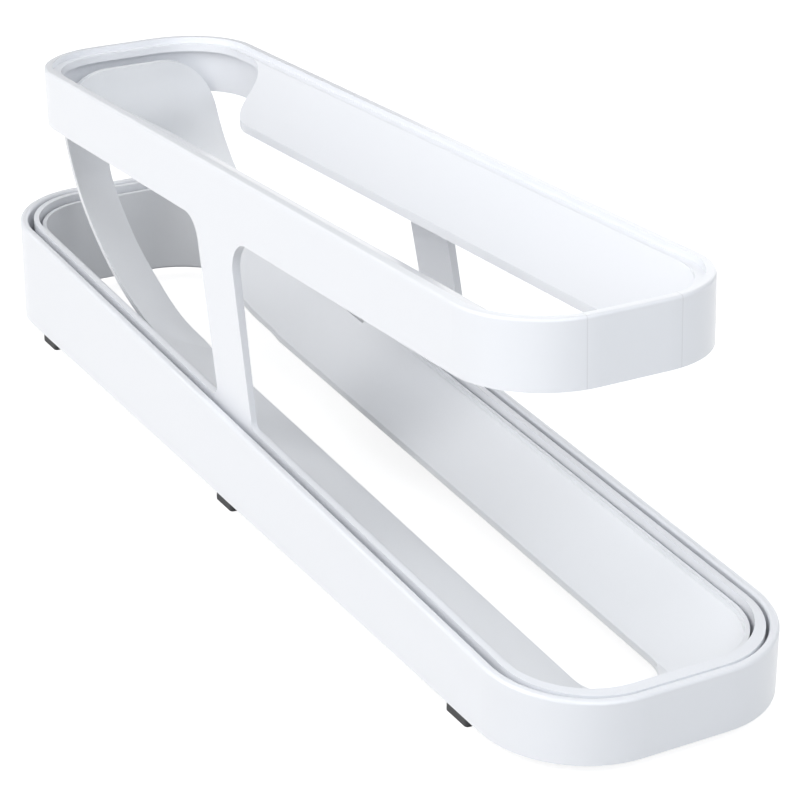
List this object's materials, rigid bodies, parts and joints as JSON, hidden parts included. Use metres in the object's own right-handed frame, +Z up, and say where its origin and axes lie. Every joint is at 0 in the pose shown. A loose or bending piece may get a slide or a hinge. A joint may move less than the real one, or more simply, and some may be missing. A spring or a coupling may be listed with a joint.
{
  "type": "egg holder",
  "caption": "Two-tier rolling egg holder: eggs roll back along a sloping upper tray, drop onto a curved chute and roll forward along the lower track.",
  "frame": {"origin": "on the resting surface, below the middle of the base ring", "axes": "+Z up, -Y towards the front where the eggs come out, +X to the right as seen from the front"},
  "size_m": [0.085, 0.365, 0.1116],
  "materials": {
    "base_plastic": "satin gloss, cool white",
    "track_plastic": "satin, cool white",
    "tier_plastic": "satin gloss, cool white",
    "foot_rubber": "matt black"
  },
  "bodies": {
    "base": {"base_ring": "base_plastic", "egg_track": "track_plastic", "foot_front_left": "foot_rubber", "foot_front_right": "foot_rubber", "foot_middle_left": "foot_rubber", "foot_middle_right": "foot_rubber", "foot_rear_left": "foot_rubber", "foot_rear_right": "foot_rubber"},
    "tier": {"upper_tier": "tier_plastic"}
  },
  "joints": [
    {"name": "tier_lift", "type": "slide", "parent": "base", "child": "tier", "axis": [0, 0, 1], "range_m": [0, 0.04]}
  ]
}
